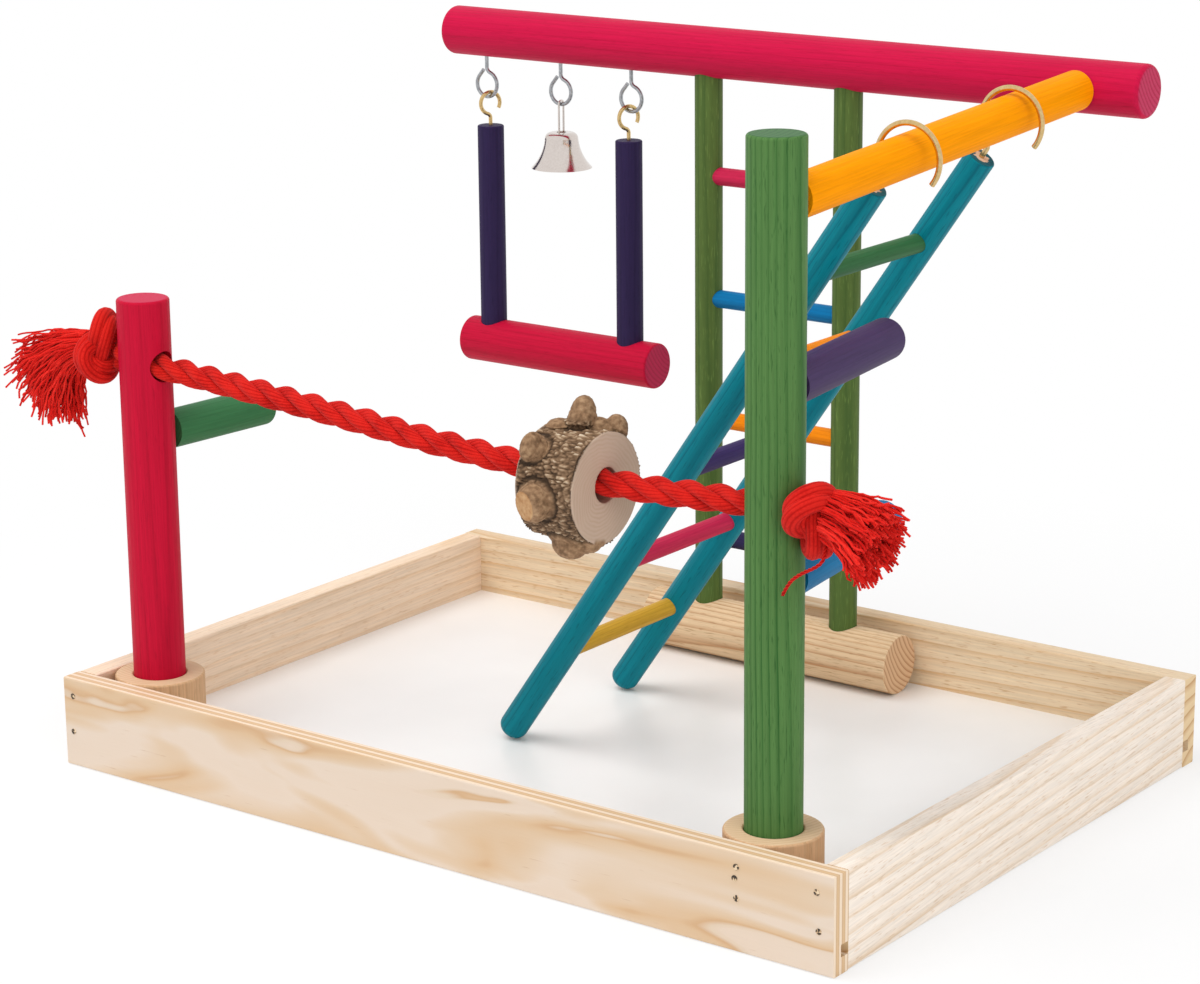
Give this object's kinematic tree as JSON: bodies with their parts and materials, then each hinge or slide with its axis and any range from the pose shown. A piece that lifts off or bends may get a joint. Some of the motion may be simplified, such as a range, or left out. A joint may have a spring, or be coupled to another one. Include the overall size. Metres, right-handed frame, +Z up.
{
  "type": "parrot play stand",
  "caption": "Wooden bird play stand: a seed tray with posts, a framed top bar, stub perches, a swing, a bell, a leaning ladder and a knotted rope with a slice of branch.",
  "frame": {"origin": "middle of the tray, at the underside of its boards", "axes": "+X along the front board to the end with the tall green post, +Y from the front board to the back board, +Z up"},
  "size_m": [0.5062, 0.3167, 0.337],
  "materials": {
    "plywood": "sanded",
    "pine": "sanded",
    "panel_white": "matte",
    "steel_dark": "satin",
    "collar_wood": "raw",
    "post_red": "stained",
    "post_green": "stained",
    "log_pine": "raw",
    "upright_green": "stained",
    "rung_crimson": "stained",
    "rung_blue": "stained",
    "rung_orange": "stained",
    "rung_purple": "stained",
    "bar_crimson": "stained",
    "perch_orange": "stained",
    "perch_purple": "stained",
    "perch_blue": "stained",
    "perch_green": "stained",
    "zinc": "zinc plated",
    "swing_purple": "stained",
    "brass_wire": "bright",
    "bell_nickel": "polished",
    "ladder_teal": "stained",
    "rung_green": "stained",
    "rung_ochre": "stained",
    "rope_red": "cotton",
    "bark": "raw bark and sawn faces"
  },
  "bodies": {
    "stand": {"front_board": "plywood", "back_board": "pine", "left_board": "pine", "right_board": "pine", "floor_panel": "panel_white", "tray_nails": "steel_dark", "left_collar": "collar_wood", "right_collar": "collar_wood", "left_post": "post_red", "right_post": "post_green", "post_screws": "zinc", "base_log": "log_pine", "log_screws": "zinc", "left_upright": "upright_green", "right_upright": "upright_green", "frame_rung_1": "rung_purple", "frame_rung_2": "rung_orange", "frame_rung_3": "rung_blue", "frame_rung_4": "rung_crimson", "top_bar": "bar_crimson", "crossbar": "perch_orange", "upper_stub_perch": "perch_purple", "lower_stub_perch": "perch_blue", "left_stub_perch": "perch_green", "dowel_screws": "zinc", "left_swing_eye": "zinc", "bell_eye": "zinc", "right_swing_eye": "zinc", "rope": "rope_red", "left_knot": "rope_red", "right_knot": "rope_red", "left_tassel": "rope_red", "right_tassel": "rope_red"},
    "swing": {"swing_perch": "post_red", "swing_left_stick": "swing_purple", "swing_right_stick": "swing_purple", "swing_left_hook": "brass_wire", "swing_right_hook": "brass_wire"},
    "bell": {"bell_shell": "bell_nickel", "bell_link": "bell_nickel"},
    "clapper": {"bell_clapper": "bell_nickel"},
    "ladder": {"ladder_near_rail": "ladder_teal", "ladder_far_rail": "ladder_teal", "ladder_rung_1": "rung_green", "ladder_rung_2": "rung_orange", "ladder_rung_3": "rung_purple", "ladder_rung_4": "rung_crimson", "ladder_rung_5": "rung_ochre", "ladder_near_hook": "brass_wire", "ladder_far_hook": "brass_wire"},
    "branch_slice": {"bark_disc": "bark"}
  },
  "joints": [
    {"name": "swing_hang", "type": "hinge", "parent": "stand", "child": "swing", "pos_m": [-0.1378, 0.1298, 0.2907], "axis": [1, 0, 0], "range_deg": [-60, 60]},
    {"name": "bell_hang", "type": "hinge", "parent": "stand", "child": "bell", "pos_m": [-0.136, 0.1298, 0.2907], "axis": [1, 0, 0], "range_deg": [-50, 50]},
    {"name": "clapper_hang", "type": "hinge", "parent": "bell", "child": "clapper", "pos_m": [-0.136, 0.1298, 0.2725], "axis": [0, 1, 0], "range_deg": [-35, 35]},
    {"name": "ladder_lift", "type": "hinge", "parent": "stand", "child": "ladder", "pos_m": [0.1683, 0, 0.31616], "axis": [0, 0.9979, 0.065], "range_deg": [0, 54]},
    {"name": "slice_spin", "type": "hinge", "parent": "stand", "child": "branch_slice", "pos_m": [0.066, -0.1255, 0.1791], "axis": [1, 0, 0], "continuous": true}
  ]
}
